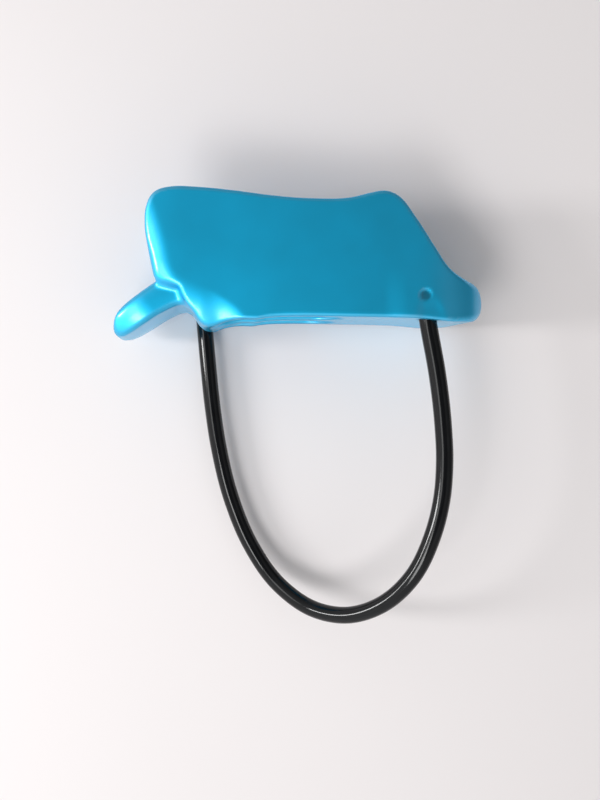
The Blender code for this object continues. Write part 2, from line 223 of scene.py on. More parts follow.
# How far below the face, and how far in from its edge, a mark's painted shade reaches
MARK_SHADE_DEPTH = 1.6
MARK_SHADE_FADE = 0.4

# Swell of the skin, in millimetres, at which the rims start to look worn, and the further
# swell at which they are fully worn
WEAR_START = 0.02
WEAR_SPAN = 0.05

# Camera fitted to the photograph, in metres: it looks at a point just below the mouths
CAMERA_TARGET = (0.000388, -0.030506, 0.0165)
CAMERA_DISTANCE = 0.208
CAMERA_YAW = math.radians(5.08)
CAMERA_PITCH = math.radians(1.87)
CAMERA_LENS = 52.2

# Softboxes in metres: where each stands, and its length along the floor and its height
LAMP_AIM = (-0.005, -0.01, 0.02)
LAMPS = {
    "strip": ((-0.44, -0.025, 0.265), (0.07, 0.16)),
    "side": ((-0.285, -0.06, 0.43), (0.13, 0.16)),
    "main": ((-0.19, -0.215, 0.43), (0.20, 0.12)),
}
# Direction in which the surroundings grow darker, the heights (1 is straight up) between
# which the camera's hood closes, and the share of light that the hood leaves
DARK_SIDE = (0.80, 0.60, 0.0)
HOOD_EDGE = (0.82, 0.98)
HOOD_LIGHT = 0.20
# Half side of the floor in metres
FLOOR_REACH = 3.0


def srgb(text):
    """Linear colour of a sRGB hex code."""
    values = [int(text[i:i + 2], 16) / 255 for i in (0, 2, 4)]
    return [v / 12.92 if v <= 0.04045 else ((v + 0.055) / 1.055) ** 2.4 for v in values]


def new_finish(name):
    """A material with an empty node tree, and that tree."""
    finish = bpy.data.materials.new(name)
    finish.use_nodes = True
    finish.node_tree.nodes.clear()
    return finish, finish.node_tree


def add_node(tree, kind, settings=None, **links):
    """Add a node; settings are its properties, links its inputs as values or sockets.

    An input is named with _ for each space, or given by its number, as i0 or i1.
    """
    node = tree.nodes.new(kind)
    for key, value in (settings or {}).items():
        setattr(node, key, value)
    for key, value in links.items():
        numbered = key[0] == "i" and key[1:].isdigit()
        socket = node.inputs[int(key[1:]) if numbered else key.replace("_", " ")]
        if isinstance(value, bpy.types.NodeSocket):
            tree.links.new(value, socket)
        else:
            socket.default_value = value
    return node


def ramp(tree, factor, stops):
    """Colour that runs through the given stops, each a place and a linear colour."""
    node = add_node(tree, "ShaderNodeValToRGB", Fac=factor)
    elements = node.color_ramp.elements
    while len(elements) < len(stops):
        elements.new(0.5)
    for element, (place, colour) in zip(elements, stops):
        element.position = place
        element.color = (*colour, 1.0)
    return node.outputs["Color"]


def painted_share(tree, name):
    """Factor that a piece carries at its corners under the given name."""
    return add_node(
        tree, "ShaderNodeAttribute",
        {"attribute_name": name, "attribute_type": "GEOMETRY"}).outputs["Fac"]


def finish_output(tree, shader):
    """Make the shader the finish's surface."""
    out = add_node(tree, "ShaderNodeOutputMaterial")
    tree.links.new(shader.outputs["BSDF"], out.inputs["Surface"])


def anodised_blue(colour):
    """Satin anodised aluminium: a clear dyed skin over finely tumbled metal.

    The metal gives the wide blue gleam, the clear skin the white core of each highlight,
    and the dye keeps faces seen at a glancing angle blue. Sharp rims are a little paler,
    where the dye is thinner and the rope rubs. The punch marks carry painted shade: their
    colour is darkened to half, which also dims the highlights in them.
    """
    finish, tree = new_finish("anodised_blue")
    place = add_node(tree, "ShaderNodeTexCoord").outputs["Object"]
    cloud = add_node(
        tree, "ShaderNodeTexNoise", Vector=place, Scale=90.0, Detail=3.0, Roughness=0.5)
    grain = add_node(
        tree, "ShaderNodeTexNoise", Vector=place, Scale=5200.0, Detail=2.0, Roughness=0.6)
    deep = [c * 0.975 for c in colour]
    body = ramp(tree, cloud.outputs["Fac"], [(0.35, deep), (0.65, colour)])
    pale = [0.35 * c + 0.65 * p for c, p in zip(colour, srgb("A9D4E6"))]
    # Painted shade: the punch marks' colour is darkened to half, which also dims their
    # highlights
    mark_shade_colour = [c * 0.5 for c in colour]
    worn = add_node(
        tree, "ShaderNodeMath", {"operation": "MULTIPLY"}, i0=painted_share(tree, "rim_wear"),
        i1=0.35)
    tint = add_node(
        tree, "ShaderNodeMix", {"data_type": "RGBA"}, i0=worn.outputs[0], i6=body,
        i7=(*pale, 1.0))
    shaded_marks = add_node(
        tree, "ShaderNodeMix", {"data_type": "RGBA"}, i0=painted_share(tree, "punch_mark"),
        i6=tint.outputs[2], i7=(*mark_shade_colour, 1.0))
    rough = add_node(
        tree, "ShaderNodeMapRange", Value=cloud.outputs["Fac"], From_Min=0.3, From_Max=0.7,
        To_Min=0.48, To_Max=0.51)
    bump = add_node(
        tree, "ShaderNodeBump", Height=grain.outputs["Fac"], Strength=0.06, Distance=0.00004)
    shader = add_node(
        tree, "ShaderNodeBsdfPrincipled", Base_Color=shaded_marks.outputs[2], Metallic=1.0,
        Roughness=rough.outputs[0], Normal=bump.outputs["Normal"], Coat_Weight=0.9,
        Coat_Roughness=0.23, Coat_IOR=1.7, Specular_Tint=(0.20, 0.60, 0.72, 1.0))
    finish_output(tree, shader)
    return finish


def glossy_jacket(colour):
    """Extruded plastic: near black and glossy, with the faint lengthwise drag of the die."""
    finish, tree = new_finish("glossy_black_jacket")
    place = add_node(tree, "ShaderNodeUVMap", {"uv_map": "around_and_along"}).outputs["UV"]
    stretched = add_node(tree, "ShaderNodeMapping", Vector=place, Scale=(14.0, 0.8, 1.0))
    drag = add_node(
        tree, "ShaderNodeTexNoise", Vector=stretched.outputs["Vector"], Scale=3.0, Detail=3.0,
        Roughness=0.55)
    grey = [c * 2.2 + 0.002 for c in colour]
    tint = ramp(tree, drag.outputs["Fac"], [(0.4, colour), (0.75, grey)])
    rough = add_node(
        tree, "ShaderNodeMapRange", Value=drag.outputs["Fac"], From_Min=0.3, From_Max=0.7,
        To_Min=0.08, To_Max=0.12)
    bump = add_node(
        tree, "ShaderNodeBump", Height=drag.outputs["Fac"], Strength=0.05, Distance=0.00002)
    shader = add_node(
        tree, "ShaderNodeBsdfPrincipled", Base_Color=tint, Roughness=rough.outputs[0],
        IOR=1.37, Normal=bump.outputs["Normal"])
    finish_output(tree, shader)
    return finish


def bright_wire(colour):
    """Drawn steel wire: bright, with darker grey patches at random."""
    finish, tree = new_finish("bright_steel_wire")
    place = add_node(tree, "ShaderNodeTexCoord").outputs["Object"]
    mottle = add_node(tree, "ShaderNodeTexNoise", Vector=place, Scale=1500.0, Detail=2.0)
    tint = ramp(
        tree, mottle.outputs["Fac"], [(0.35, [c * 0.7 for c in colour]), (0.6, colour)])
    rough = add_node(
        tree, "ShaderNodeMapRange", Value=mottle.outputs["Fac"], To_Min=0.28, To_Max=0.42)
    shader = add_node(
        tree, "ShaderNodeBsdfPrincipled", Base_Color=tint, Metallic=1.0,
        Roughness=rough.outputs[0])
    finish_output(tree, shader)
    return finish


def pale_floor(colour):
    """Matt pale studio sweep, with a barely visible cloudiness."""
    finish, tree = new_finish("pale_floor")
    place = add_node(tree, "ShaderNodeTexCoord").outputs["Object"]
    cloud = add_node(tree, "ShaderNodeTexNoise", Vector=place, Scale=9.0, Detail=2.0)
    tint = ramp(
        tree, cloud.outputs["Fac"], [(0.3, [c * 0.985 for c in colour]), (0.7, colour)])
    shader = add_node(
        tree, "ShaderNodeBsdfPrincipled", Base_Color=tint, Roughness=0.9)
    finish_output(tree, shader)
    return finish


def closed_curve(points, steps=8):
    """Even points on the smooth closed curve through the given ones, in millimetres.

    Each point gets two handles, as Blender's automatic ones: along the mean direction of
    its two sides, and shorter where one side is much shorter than the other.
    """
    corners = np.array(points, float)
    before = corners - np.roll(corners, 1, axis=0)
    after = np.roll(corners, -1, axis=0) - corners
    len_before = np.linalg.norm(before, axis=1)[:, None]
    len_after = np.linalg.norm(after, axis=1)[:, None]
    lean = before / len_before + after / len_after
    scale = np.linalg.norm(lean, axis=1)[:, None] * HANDLE_DIVISOR
    hand_out = corners + lean * np.minimum(len_after, HANDLE_LIMIT * len_before) / scale
    hand_in = corners - lean * np.minimum(len_before, HANDLE_LIMIT * len_after) / scale
    following = np.roll(corners, -1, axis=0)
    following_hand = np.roll(hand_in, -1, axis=0)
    rows = []
    for step in range(steps):
        t = step / steps
        rows.append(
            (1 - t) ** 3 * corners + 3 * (1 - t) ** 2 * t * hand_out
            + 3 * (1 - t) * t * t * following_hand + t ** 3 * following)
    line = np.stack(rows, axis=1).reshape(-1, 2)
    return softened(line, LINE_SPACING, LINE_SOFTNESS)


def softened(line, spacing, softness):
    """Resample a closed line evenly and even out its bends over about that length."""
    ring = np.vstack([line, line[:1]])
    lengths = np.concatenate([[0], np.cumsum(np.linalg.norm(np.diff(ring, axis=0), axis=1))])
    count = max(24, int(lengths[-1] / spacing))
    places = np.linspace(0, lengths[-1], count, endpoint=False)
    even = np.stack([np.interp(places, lengths, ring[:, i]) for i in (0, 1)], axis=1)
    reach = max(1, int(3 * softness / spacing))
    offsets = np.arange(-reach, reach + 1)
    weights = np.exp(-0.5 * (offsets * spacing / softness) ** 2)
    weights /= weights.sum()
    return sum(w * np.roll(even, -o, axis=0) for w, o in zip(weights, offsets))


def signed_distance(line, x, y):
    """Distance of every place to a closed line, negative inside it."""
    best = np.full(x.shape, 1e9)
    inside = np.zeros(x.shape, bool)
    for (ax, ay), (bx, by) in zip(line, np.roll(line, -1, axis=0)):
        ex, ey = bx - ax, by - ay
        share = np.clip(((x - ax) * ex + (y - ay) * ey) / (ex * ex + ey * ey), 0, 1)
        best = np.minimum(best, (x - ax - share * ex) ** 2 + (y - ay - share * ey) ** 2)
        if ay != by:
            crosses = (ay > y) != (by > y)
            inside ^= crosses & (x < ax + (y - ay) * ex / ey)
    return np.where(inside, -1.0, 1.0) * np.sqrt(best)


class DistanceMap:
    """Signed distance to one outline, read smoothly from a grid worked out once.

    The grid starts at LOW and has SIZE places, STEP apart, in millimetres.
    """

    LOW = (-48.0, -22.0)
    STEP = 0.25
    SIZE = (385, 177)

    def __init__(self, line):
        xs = self.LOW[0] + self.STEP * np.arange(self.SIZE[0])
        ys = self.LOW[1] + self.STEP * np.arange(self.SIZE[1])
        x, y = np.meshgrid(xs, ys, indexing="ij")
        self.values = signed_distance(line, x, y)

    def __call__(self, x, y):
        """Distance at the given places, by cubic interpolation."""
        u = np.clip((x - self.LOW[0]) / self.STEP, 1, self.SIZE[0] - 3)
        v = np.clip((y - self.LOW[1]) / self.STEP, 1, self.SIZE[1] - 3)
        i, j = u.astype(int), v.astype(int)
        wu, wv = cubic_weights(u - i), cubic_weights(v - j)
        total = 0.0
        for a in range(4):
            for b in range(4):
                total = total + wu[a] * wv[b] * self.values[i + a - 1, j + b - 1]
        return total


def cubic_weights(t):
    """Weights of the four grid values around a place, a share t past the second one."""
    return (
        ((2 - t) * t - 1) * t / 2, ((3 * t - 5) * t * t + 2) / 2,
        ((4 - 3 * t) * t + 1) * t / 2, (t - 1) * t * t / 2)


def both(a, b, r):
    """What two shapes share, its edge rounded to radius r."""
    over = np.hypot(np.maximum(a + r, 0), np.maximum(b + r, 0))
    return np.minimum(np.maximum(a, b), -r) + over


def joined(a, b, r):
    """Two shapes together, with a fillet of radius r between them."""
    under = np.hypot(np.maximum(r - a, 0), np.maximum(r - b, 0))
    return np.maximum(np.minimum(a, b), r) - under


def rise(value, start, end):
    """Smooth step from 0 at start to 1 at end; end may lie below start."""
    t = np.clip((value - start) / (end - start), 0, 1)
    return t * t * (3 - 2 * t)


class BodyField:
    """Distance field of the forged body in millimetres, negative inside the metal.

    form holds the body's radii and depths by name. In its methods x, y and z are places,
    and c is how far z lies from the body's middle plane.
    """

    def __init__(self, form):
        self.form = form
        self.cheek = DistanceMap(closed_curve(CHEEK_OUTLINE))
        self.horn = DistanceMap(closed_curve(HORN_OUTLINE))
        self.corner = DistanceMap(closed_curve(CORNER_OUTLINE))
        self.flat = DistanceMap(closed_curve(FLAT_OUTLINE))
        self.floor = DistanceMap(softened(np.array(FLOOR_OUTLINE), EDGE_SPACING, EDGE_SOFTNESS))
        self.web = DistanceMap(softened(np.array(WEB_OUTLINE), EDGE_SPACING, EDGE_SOFTNESS))

    def roll(self, x, y):
        """How far the face has rolled down outside its flat part.

        Up to the crest's slope it bends tightly, and from there in the wider roll.
        """
        tight, wide = self.form["crest_radius"], self.form["roll_radius"]
        beyond = np.maximum(self.flat(x, y), 0)
        slope = CREST_SLOPE * rise(x, *CREST_STEEPENS)
        further = np.maximum(beyond - slope * tight, 0)
        wide = wide * (
            1 + ROLL_WIDER_BY * rise(x, *ROLL_WIDENS)
            - CREST_TIGHTER_BY * rise(x, *CREST_STEEPENS))
        crest = np.minimum(beyond, slope * tight) ** 2 / (2 * tight)
        return crest + further * slope + further ** 2 / (2 * wide)

    def fan(self, x, y, z):
        """Share, from 0 to 1, of the dent between a punch mark and its cable mouth."""
        near = z > HALF_WIDTH
        px, py = (np.where(near, a, b) for a, b in zip(NEAR_EXIT, FAR_EXIT))
        lean = np.where(near, math.tan(NEAR_LEAN), math.tan(FAR_LEAN))
        along = y - py
        aside = x - px + lean * along
        half = FAN_HALF_WIDTH - FAN_SPREAD * along
        return rise(along, STAKE_RISE + FAN_ABOVE_MARK, FAN_FULL) * np.exp(-(aside / half) ** 4)

    def face_drop(self, x, y, z):
        """How far a cheek's face lies below the body's full width."""
        boss = rise(x, *BOSS_ALONG) * rise(y, *BOSS_ACROSS)
        low = self.form["face_recess"] * (1 - boss) * rise(x, *RECESS_DEEPENS)
        return low + self.roll(x, y) + self.form["fan_depth"] * self.fan(x, y, z)

    def slot(self, x, w, spare):
        """Plan of one rope slot: w is the distance from its middle line."""
        half = SLOT_WIDTH / 2 + spare
        left = SLOT_LEFT + SLOT_LEFT_ROUND
        right = SLOT_RIGHT - SLOT_RIGHT_ROUND
        squeezed = np.where(
            x < left, (left - x) * half / SLOT_LEFT_ROUND,
            np.maximum(x - right, 0) * half / SLOT_RIGHT_ROUND)
        return np.hypot(squeezed, w) - half

    def nose(self, x, c):
        """Plan of the body: full width, and closed by a power curve at the nose."""
        u = np.maximum(x - NOSE_START, 0) / (NOSE_TIP - NOSE_START)
        v = c / HALF_WIDTH
        size = (u ** NOSE_POWER + v ** NOSE_POWER) ** (1 / NOSE_POWER) + 1e-9
        slope = np.hypot(
            (u / size) ** (NOSE_POWER - 1) / (NOSE_TIP - NOSE_START),
            (v / size) ** (NOSE_POWER - 1) / HALF_WIDTH)
        return (size - 1) / np.maximum(slope, 0.02)

    def hull(self, x, y, z, c, corner):
        """Cheek and corner outline, as wide as the body, with the rims rounded."""
        rim = joined(self.cheek(x, y), corner, CORNER_FILLET)
        face = self.nose(x, c) + self.face_drop(x, y, z)
        widening = rise(y, *RIM_WIDENS_DOWN) * rise(x, *RIM_WIDENS_LEFT)
        return both(
            rim, face, self.form["rim_radius"] * (1 + widening)
            + self.form["nose_round"] * rise(x, *NOSE_ROUNDS))

    def inside(self, x, y, c, slot, corner):
        """What stays inside the hull: cheek walls, trough floor, corner and web."""
        trough = both(self.floor(x, y), -slot, self.form["rope_edge"])
        kept = joined(HALF_WIDTH - CHEEK_WALL - c, trough, WALL_FILLET)
        fill = both(corner - CORNER_FILL, -slot, CORNER_FILL_EDGE)
        kept = joined(kept, fill, CORNER_FILL_FILLET)
        web = both(self.web(x, y), c - WEB_WALL / 2, WEB_EDGE)
        return joined(kept, web, WEB_FILLET)

    def whole_horn(self, x, y, c):
        """The horn before its slots: flanks that swell inside the rim and droop at the tip."""
        rim = self.horn(x, y) + c * math.tan(HORN_DRAFT)
        swell = self.form["horn_pillow"] * np.clip(1 + rim / SWELL_REACH, 0, 1) ** 2
        (top_x, top_y), (axis_x, axis_y) = HORN_TOP, HORN_AXIS
        reach = np.maximum((top_x - x) * axis_x + (top_y - y) * axis_y, 0)
        droop = reach ** 2 / (2 * self.form["tip_radius"])
        flank = c - HALF_WIDTH + HORN_INSET + swell + droop
        return both(rim, flank, self.form["horn_round"])

    def groove(self, x, y, c):
        """The V-shaped braking grooves along the horn, one behind each slot."""
        fx, fy = GROOVE_FOOT
        along = (x - fx) * math.cos(GROOVE_ANGLE) + (y - fy) * math.sin(GROOVE_ANGLE)
        above = (y - fy) * math.cos(GROOVE_ANGLE) - (x - fx) * math.sin(GROOVE_ANGLE)
        depth = GROOVE_DEPTH_AT_TIP + (GROOVE_DEPTH_AT_TOP - GROOVE_DEPTH_AT_TIP) * (
            along / GROOVE_LENGTH)
        side, under = np.abs(c - SLOT_MIDDLE), np.abs(above)
        sides = np.hypot(side, GROOVE_FLOOR) + np.hypot(under, GROOVE_FLOOR)
        return np.maximum(
            (sides - depth - GROOVE_FLOOR) / math.sqrt(2), along - GROOVE_LENGTH)

    def drilled(self, solid, x, y, z, name, exit_point, inward):
        """Take away one blind bore and the punch mark over it."""
        px, py, pz = exit_point
        ix, iy = inward[0], inward[1]
        along = (x - px) * ix + (y - py) * iy
        aside = (y - py) * ix - (x - px) * iy
        radial = np.hypot(aside, z - pz)
        bore = both(radial - self.form["bore_radius"], along - BORE_LENGTH, BORE_FOOT)
        bore = np.maximum(bore, -along - BORE_LEAD)
        solid = both(solid, -bore, MOUTH_EDGE)
        depth = np.abs(z - (BODY_WIDTH if name == "near" else 0.0))
        above = (along - STAKE_RISE) / STAKE_RADIUS
        bowl = STAKE_RADIUS * (np.hypot((aside - STAKE_ASIDE) / STAKE_RADIUS, above) - 1)
        bowl = bowl + MARK_TAPER * np.maximum(depth - MARK_LIP, 0)
        floor = depth - self.form["mark_depth"] * np.clip(MARK_MIDDLE + MARK_TILT * above, 0, 1)
        return both(solid, -both(bowl, floor, MARK_EDGE), MARK_EDGE)

    def __call__(self, x, y, z):
        c = np.abs(z - HALF_WIDTH)
        slot = self.slot(x, c - SLOT_MIDDLE, SLOT_SPARE)
        corner = self.corner(x, y)
        solid = both(
            self.hull(x, y, z, c, corner), self.inside(x, y, c, slot, corner), INNER_EDGE)
        horn = both(self.whole_horn(x, y, c), -slot, self.form["rope_edge"])
        solid = joined(solid, horn, self.form["cove_radius"])
        solid = both(solid, -self.groove(x, y, c), GROOVE_EDGE)
        solid = np.maximum(solid, c - HALF_WIDTH)
        for name, (exit_point, inward) in cable_ends().items():
            solid = self.drilled(solid, x, y, z, name, exit_point, inward)
        return solid


def cable_ends():
    """Exit point and inward direction of each cable end, in millimetres."""
    near = (np.array([*NEAR_EXIT, BODY_WIDTH - CABLE_DEPTH]),
            np.array([-math.sin(NEAR_LEAN), math.cos(NEAR_LEAN), 0.0]))
    far = (np.array([*FAR_EXIT, CABLE_DEPTH]),
           np.array([-math.sin(FAR_LEAN), math.cos(FAR_LEAN), 0.0]))
    return {"near": near, "far": far}


def neighbour_cells(places, others, offsets):
    """The cells beside each crossed grid edge: one array of cells for each offset."""
    for du, dv in offsets:
        cell = places.copy()
        cell[:, others[0]] -= du
        cell[:, others[1]] -= dv
        yield tuple(cell.T)


def skin_of(field, low, high, step):
    """Closed quad skin of a distance field: corners (n, 3) and quads (m, 4).

    Each grid edge that the surface crosses gives one quad between its four cells, and each
    cell that is touched gets one corner, at the mean of the crossings on its edges.
    """
    counts = [int(math.ceil((top - foot) / step)) + 1 for foot, top in zip(low, high)]
    axes = [foot + step * np.arange(count) for foot, count in zip(low, counts)]
    values = field(*np.meshgrid(*axes, indexing="ij"))
    cells = tuple(count - 1 for count in counts)
    total = np.zeros((*cells, 3))
    hits = np.zeros(cells)
    crossings = []
    for axis in range(3):
        lower = np.take(values, range(counts[axis] - 1), axis=axis)
        upper = np.take(values, range(1, counts[axis]), axis=axis)
        places = np.argwhere((lower < 0) != (upper < 0))
        a, b = lower[tuple(places.T)], upper[tuple(places.T)]
        point = places.astype(float)
        point[:, axis] += a / (a - b)
        others = [i for i in range(3) if i != axis]
        crossings.append((axis, others, places, a < 0))
        for cell in neighbour_cells(places, others, ((0, 0), (0, 1), (1, 0), (1, 1))):
            np.add.at(total, cell, point)
            np.add.at(hits, cell, 1)
    used = hits > 0
    number = np.full(cells, -1)
    number[used] = np.arange(used.sum())
    corners = np.array(low) + step * total[used] / hits[used][:, None]
    quads = []
    for axis, others, places, leaving in crossings:
        around = neighbour_cells(places, others, ((0, 0), (1, 0), (1, 1), (0, 1)))
        ring = np.stack([number[cell] for cell in around], axis=1)
        turned = leaving if axis == 1 else ~leaving
        ring[turned] = ring[turned][:, ::-1]
        quads.append(ring)
    return corners, np.vstack(quads)


def field_slope(field, places, reach=0.02):
    """The field at some places, and how fast it grows there along each axis."""
    here = field(*places.T)
    slope = np.empty_like(places)
    for axis in range(3):
        moved = places.copy()
        moved[:, axis] += reach
        slope[:, axis] = (field(*moved.T) - here) / reach
    return here, slope


def settled(field, corners, quads, rounds, step):
    """Even out the skin's corners and press each back onto the field's surface.

    The last round only presses, and no corner moves more than half a step at once.
    """
    edges = np.vstack([quads[:, [i, (i + 1) % 4]] for i in range(4)])
    for turn in range(rounds):
        if turn < rounds - 1:
            total = np.zeros_like(corners)
            count = np.zeros(len(corners))
            np.add.at(total, edges[:, 0], corners[edges[:, 1]])
            np.add.at(count, edges[:, 0], 1)
            middle = total / count[:, None]
            corners = corners + 0.5 * (middle - corners)
        here, slope = field_slope(field, corners)
        size = np.maximum((slope ** 2).sum(1), 0.25)
        move = -(here / size)[:, None] * slope
        length = np.linalg.norm(move, axis=1)[:, None]
        move *= np.minimum(1, 0.5 * step / np.maximum(length, 1e-9))
        corners = corners + move
    return corners


def rim_wear(corners, quads):
    """How sharply the skin turns outwards at each corner, from 0 to 1."""
    spans = corners[quads[:, 2]] - corners[quads[:, 0]]
    crossed = corners[quads[:, 3]] - corners[quads[:, 1]]
    facing = np.cross(spans, crossed)
    normals = np.zeros_like(corners)
    middle = np.zeros_like(corners)
    count = np.zeros(len(corners))
    for i in range(4):
        np.add.at(normals, quads[:, i], facing)
        np.add.at(middle, quads[:, i], corners[quads].mean(axis=1))
        np.add.at(count, quads[:, i], 1)
    normals /= np.maximum(np.linalg.norm(normals, axis=1), 1e-9)[:, None]
    middle /= count[:, None]
    bulge = ((corners - middle) * normals).sum(1)
    return np.clip((bulge - WEAR_START) / WEAR_SPAN, 0, 1)


def punch_shade_share(corners):
    """How deep inside a punch mark each corner lies, from 0 to 1: the share of the marks'
    painted shade.
    """
    share = np.zeros(len(corners))
    for name, (exit_point, inward) in cable_ends().items():
        offset = corners - exit_point
        along = offset @ inward
        aside = offset[:, 1] * inward[0] - offset[:, 0] * inward[1]
        outside = np.abs(corners[:, 2] - HALF_WIDTH) > HALF_WIDTH - MARK_SHADE_DEPTH
        same_face = (corners[:, 2] > HALF_WIDTH) == (name == "near")
        away = np.hypot(aside - STAKE_ASIDE, along - STAKE_RISE)
        inner = rise(away, STAKE_RADIUS, STAKE_RADIUS - MARK_SHADE_FADE)
        share = np.maximum(share, outside * same_face * inner)
    return share


def mesh_piece(name, corners, faces, finish, smooth=True):
    """A piece from corners in metres, in the row's own frame."""
    mesh = bpy.data.meshes.new(name)
    mesh.from_pydata(np.asarray(corners).tolist(), [], [list(map(int, f)) for f in faces])
    mesh.polygons.foreach_set("use_smooth", [smooth] * len(mesh.polygons))
    mesh.materials.append(finish)
    mesh.update()
    piece = bpy.data.objects.new(name, mesh)
    bpy.context.scene.collection.objects.link(piece)
    return piece


def between(a, b, slope_a, slope_b, span, t):
    """Point a share t of the way along the smooth curve from a to b."""
    return (
        (2 * t ** 3 - 3 * t * t + 1) * a + (t ** 3 - 2 * t * t + t) * span * slope_a
        + (3 * t * t - 2 * t ** 3) * b + (t ** 3 - t * t) * span * slope_b)


def cable_route(depth):
    """Even middle line of the whole cable in millimetres, a depth into its bore each end."""
    ends = cable_ends()
    near_exit, near_in = ends["near"]
    far_exit, far_in = ends["far"]
    points = [near_exit + near_in * depth, near_exit + near_in * depth / 2, near_exit]
    for x, y, share in LOOP_ROUTE:
        height = near_exit[2] + (far_exit[2] - near_exit[2]) * share
        points.append(np.array([x, y, height]))
    points += [far_exit, far_exit + far_in * depth / 2, far_exit + far_in * depth]
    points = np.array(points)
    spans = np.linalg.norm(np.diff(points, axis=0), axis=1)
    knots = np.concatenate([[0], np.cumsum(spans)])
    slopes = np.gradient(points, knots, axis=0)
    fine = []
    for i, span in enumerate(spans):
        for t in np.linspace(0, 1, ROUTE_STEPS, endpoint=False):
            fine.append(between(points[i], points[i + 1], slopes[i], slopes[i + 1], span, t))
    fine.append(points[-1])
    fine = np.array(fine)
    lengths = np.concatenate([[0], np.cumsum(np.linalg.norm(np.diff(fine, axis=0), axis=1))])
    places = np.linspace(0, lengths[-1], int(lengths[-1] / RING_SPACING) + 1)
    return np.stack([np.interp(places, lengths, fine[:, i]) for i in range(3)], axis=1)


def ring_frames(line):
    """Two directions across a line at each point, carried along it without twisting."""
    ahead = np.gradient(line, axis=0)
    ahead /= np.linalg.norm(ahead, axis=1)[:, None]
    across = np.zeros_like(line)
    side = np.array([0.0, 0.0, 1.0])
    for i, direction in enumerate(ahead):
        side = side - direction * side.dot(direction)
        side /= np.linalg.norm(side)
        across[i] = side
    return across, np.cross(ahead, across)


def jacket_piece(line, radius, sides, finish):
    """Closed round tube along a line, its two ends drawn in a little and capped."""
    across, up = ring_frames(line)
    angles = np.linspace(0, 2 * math.pi, sides, endpoint=False)
    scale = np.ones(len(line))
    scale[[0, -1]] = END_SHRINK
    corners = []
    for point, a, b, size in zip(line, across, up, scale):
        for angle in angles:
            corners.append(point + radius * size * (math.cos(angle) * a + math.sin(angle) * b))
    faces = []
    for row in range(len(line) - 1):
        for i in range(sides):
            j = (i + 1) % sides
            here, ahead = row * sides, (row + 1) * sides
            faces.append((here + i, here + j, ahead + j, ahead + i))
    faces.append(tuple(range(sides - 1, -1, -1)))
    last = (len(line) - 1) * sides
    faces.append(tuple(last + i for i in range(sides)))
    piece = mesh_piece("cable_jacket", np.array(corners) * MM, faces, finish)
    marks = piece.data.uv_layers.new(name="around_and_along")
    for face, loops in zip(faces[:-2], piece.data.polygons):
        for corner, loop in zip(face, loops.loop_indices):
            i, row = corner % sides, corner // sides
            turn = i if i or corner == face[0] or corner == face[3] else sides
            marks.data[loop].uv = (turn / sides, row * PATTERN_STEP)
    return piece


def strand_tree():
    """Geometry nodes that lay round strands about a curve and one along its middle."""
    tree = bpy.data.node_groups.new("wire_rope_strands", "GeometryNodeTree")
    tree.is_modifier = True
    face = tree.interface
    face.new_socket("Geometry", in_out="INPUT", socket_type="NodeSocketGeometry")
    for name, kind in (
            ("Strands", "NodeSocketInt"), ("Strand radius", "NodeSocketFloat"),
            ("Lay radius", "NodeSocketFloat"), ("Turns", "NodeSocketFloat"),
            ("Finish", "NodeSocketMaterial")):
        face.new_socket(name, in_out="INPUT", socket_type=kind)
    face.new_socket("Geometry", in_out="OUTPUT", socket_type="NodeSocketGeometry")
    put = add_node(tree, "NodeGroupInput").outputs
    copies = add_node(
        tree, "GeometryNodeDuplicateElements", {"domain": "SPLINE"},
        Geometry=put["Geometry"], Amount=put["Strands"])
    along = add_node(tree, "GeometryNodeSplineParameter").outputs["Factor"]
    share = add_node(
        tree, "ShaderNodeMath", {"operation": "DIVIDE"}, i0=copies.outputs["Duplicate Index"],
        i1=put["Strands"])
    twist = add_node(
        tree, "ShaderNodeMath", {"operation": "MULTIPLY"}, i0=along, i1=put["Turns"])
    turn = add_node(
        tree, "ShaderNodeMath", {"operation": "ADD"}, i0=share.outputs[0], i1=twist.outputs[0])
    angle = add_node(
        tree, "ShaderNodeMath", {"operation": "MULTIPLY"}, i0=turn.outputs[0], i1=2 * math.pi)
    aside = add_node(
        tree, "ShaderNodeVectorRotate", {"rotation_type": "AXIS_ANGLE"},
        Vector=add_node(tree, "GeometryNodeInputNormal").outputs["Normal"],
        Axis=add_node(tree, "GeometryNodeInputTangent").outputs["Tangent"],
        Angle=angle.outputs[0])
    reach = add_node(
        tree, "ShaderNodeVectorMath", {"operation": "SCALE"}, i0=aside.outputs["Vector"],
        Scale=put["Lay radius"])
    laid = add_node(
        tree, "GeometryNodeSetPosition", Geometry=copies.outputs["Geometry"],
        Offset=reach.outputs["Vector"])
    lines = add_node(tree, "GeometryNodeJoinGeometry")
    tree.links.new(put["Geometry"], lines.inputs[0])
    tree.links.new(laid.outputs["Geometry"], lines.inputs[0])
    section = add_node(
        tree, "GeometryNodeCurvePrimitiveCircle", {"mode": "RADIUS"}, Resolution=8,
        Radius=put["Strand radius"])
    tubes = add_node(
        tree, "GeometryNodeCurveToMesh", Curve=lines.outputs["Geometry"],
        Profile_Curve=section.outputs["Curve"], Fill_Caps=True)
    real = add_node(tree, "GeometryNodeRealizeInstances", Geometry=tubes.outputs["Mesh"])
    painted = add_node(
        tree, "GeometryNodeSetMaterial", Geometry=real.outputs["Geometry"],
        Material=put["Finish"])
    out = add_node(tree, "NodeGroupOutput")
    tree.links.new(painted.outputs["Geometry"], out.inputs[0])
    return tree


def run_geometry(piece, tree, values):
    """Evaluate a geometry tree on a piece and return a plain mesh of the result."""
    change = piece.modifiers.new(tree.name, "NODES")
    change.node_group = tree
    for item in tree.interface.items_tree:
        if item.in_out == "INPUT" and item.name in values:
            change[item.identifier] = values[item.name]
    bpy.context.view_layer.update()
    evaluated = piece.evaluated_get(bpy.context.evaluated_depsgraph_get())
    mesh = bpy.data.meshes.new_from_object(evaluated)
    piece.modifiers.remove(change)
    return mesh


